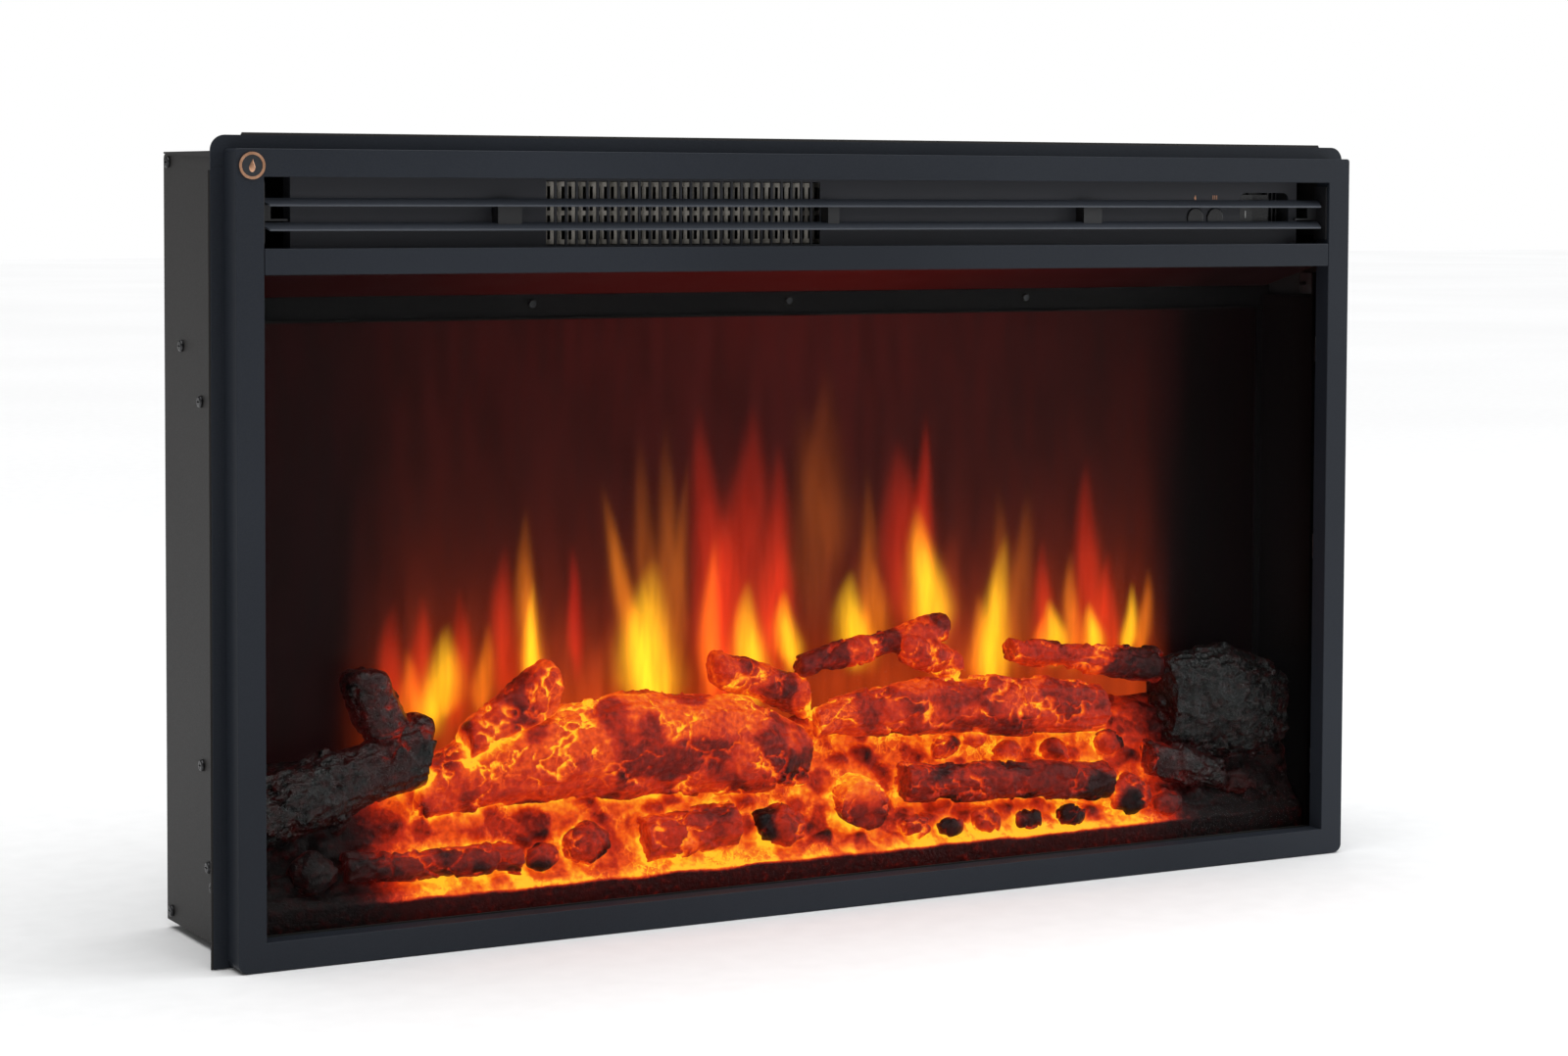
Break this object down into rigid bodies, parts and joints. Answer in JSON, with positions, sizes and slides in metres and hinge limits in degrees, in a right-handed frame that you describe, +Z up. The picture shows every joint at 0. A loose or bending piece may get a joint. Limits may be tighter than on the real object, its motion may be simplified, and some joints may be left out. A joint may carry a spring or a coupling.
{
  "type": "electric fireplace",
  "caption": "Built-in electric fire: steel casing, framed glass window with logs and flame screen, louvred fan heater outlet and controls above it.",
  "frame": {"origin": "centre of the underside of the casing's base, which stands on the floor of the wall recess", "axes": "+X to the right as seen from the room, +Y from the room into the wall, +Z up"},
  "size_m": [0.86, 0.1577, 0.512],
  "materials": {
    "frame_charcoal": "fine-textured charcoal powder coat with a faint blue cast",
    "casing_grey": "warm dark grey powder coat",
    "blade_slate": "satin slate powder coat",
    "panel_charcoal": "fine-textured charcoal powder coat",
    "bracket_black": "black paint",
    "zinc_steel": "zinc-plated steel",
    "black_screw": "black-oxide steel",
    "clear_glass": "clear tempered glass",
    "seal_rubber": "black sponge rubber",
    "badge_copper": "satin copper",
    "button_black": "black satin plastic",
    "switch_black": "moulded black plastic",
    "board_green": "circuit board with solder mask",
    "fin_aluminium": "bare folded aluminium",
    "duct_steel": "galvanised sheet",
    "motor_steel": "pressed motor can",
    "impeller_white": "moulded glass-filled plastic",
    "firebox_black": "matt black paint",
    "screen_smoke": "smoked diffusing acrylic",
    "ember_resin": "translucent amber resin with grey ash tips",
    "log_resin": "painted resin, charred bark",
    "charred_resin": "painted resin, black charcoal",
    "flame_light": "light of the flame effect on the screen",
    "icon_copper": "printed marks"
  },
  "bodies": {
    "root": {"badge": "badge_copper", "blade_brackets": "bracket_black", "blower_motor": "motor_steel", "blower_scroll": "duct_steel", "board_spacers": "switch_black", "bottom_panel": "casing_grey", "cable_gland": "switch_black", "coals": "log_resin", "control_board": "board_green", "control_panel": "panel_charcoal", "crossbar": "frame_charcoal", "ember_bed": "ember_resin", "firebox_ceiling": "firebox_black", "firebox_side_walls": "firebox_black", "flame_mask": "firebox_black", "flame_screen": "screen_smoke", "frame_clips": "zinc_steel", "front_frame": "frame_charcoal", "glass_panel": "clear_glass", "glass_seal": "seal_rubber", "head_shelf": "zinc_steel", "heater_core": "fin_aluminium", "heater_duct": "duct_steel", "left_side_panel": "casing_grey", "light_boards": "board_green", "log_back_stub": "log_resin", "log_centre_left": "log_resin", "log_far_right": "charred_resin", "log_front_left": "log_resin", "log_front_right": "log_resin", "log_left": "charred_resin", "log_right": "log_resin", "log_round_end": "log_resin", "log_short_front": "log_resin", "log_stub_top": "log_resin", "log_top": "log_resin", "log_upper_right": "log_resin", "louvre_blades": "blade_slate", "power_switch_body": "switch_black", "rear_brackets": "zinc_steel", "rear_panel": "casing_grey", "right_side_panel": "casing_grey", "screen_channels": "firebox_black", "screen_rail": "firebox_black", "screws": "black_screw", "shaft_bushes": "switch_black", "side_trim_strips": "frame_charcoal", "spindle_motor": "motor_steel", "stump_right": "charred_resin", "terminal_block": "switch_black", "thermal_cutout": "motor_steel", "top_panel": "casing_grey", "top_trim_strip": "frame_charcoal"},
    "spindle": {"flicker_spindle": "zinc_steel", "flicker_vanes": "fin_aluminium"},
    "impeller": {"blower_impeller": "impeller_white", "blower_shaft": "zinc_steel"},
    "flame_button_body": {"flame_button": "button_black"},
    "heater_button_body": {"heater_button": "button_black"},
    "rocker_body": {"power_rocker": "switch_black"}
  },
  "joints": [
    {"name": "spindle_spin", "type": "hinge", "parent": "root", "child": "spindle", "pos_m": [0, 0.04565, 0.105], "axis": [1, 0, 0], "continuous": true},
    {"name": "blower_spin", "type": "hinge", "parent": "root", "child": "impeller", "pos_m": [-0.10565, 0.0281, 0.4624], "axis": [1, 0, 0], "continuous": true},
    {"name": "flame_button_press", "type": "slide", "parent": "root", "child": "flame_button_body", "axis": [0, 1, 0], "range_m": [0, 0.0012], "stiffness_N_per_m": 600, "springref_m": -0.0005},
    {"name": "heater_button_press", "type": "slide", "parent": "root", "child": "heater_button_body", "axis": [0, 1, 0], "range_m": [0, 0.0012], "stiffness_N_per_m": 600, "springref_m": -0.0005},
    {"name": "rocker_toggle", "type": "hinge", "parent": "root", "child": "rocker_body", "pos_m": [0.353, -0.0573, 0.461], "axis": [0, 0, 1], "range_deg": [0, 12]}
  ]
}
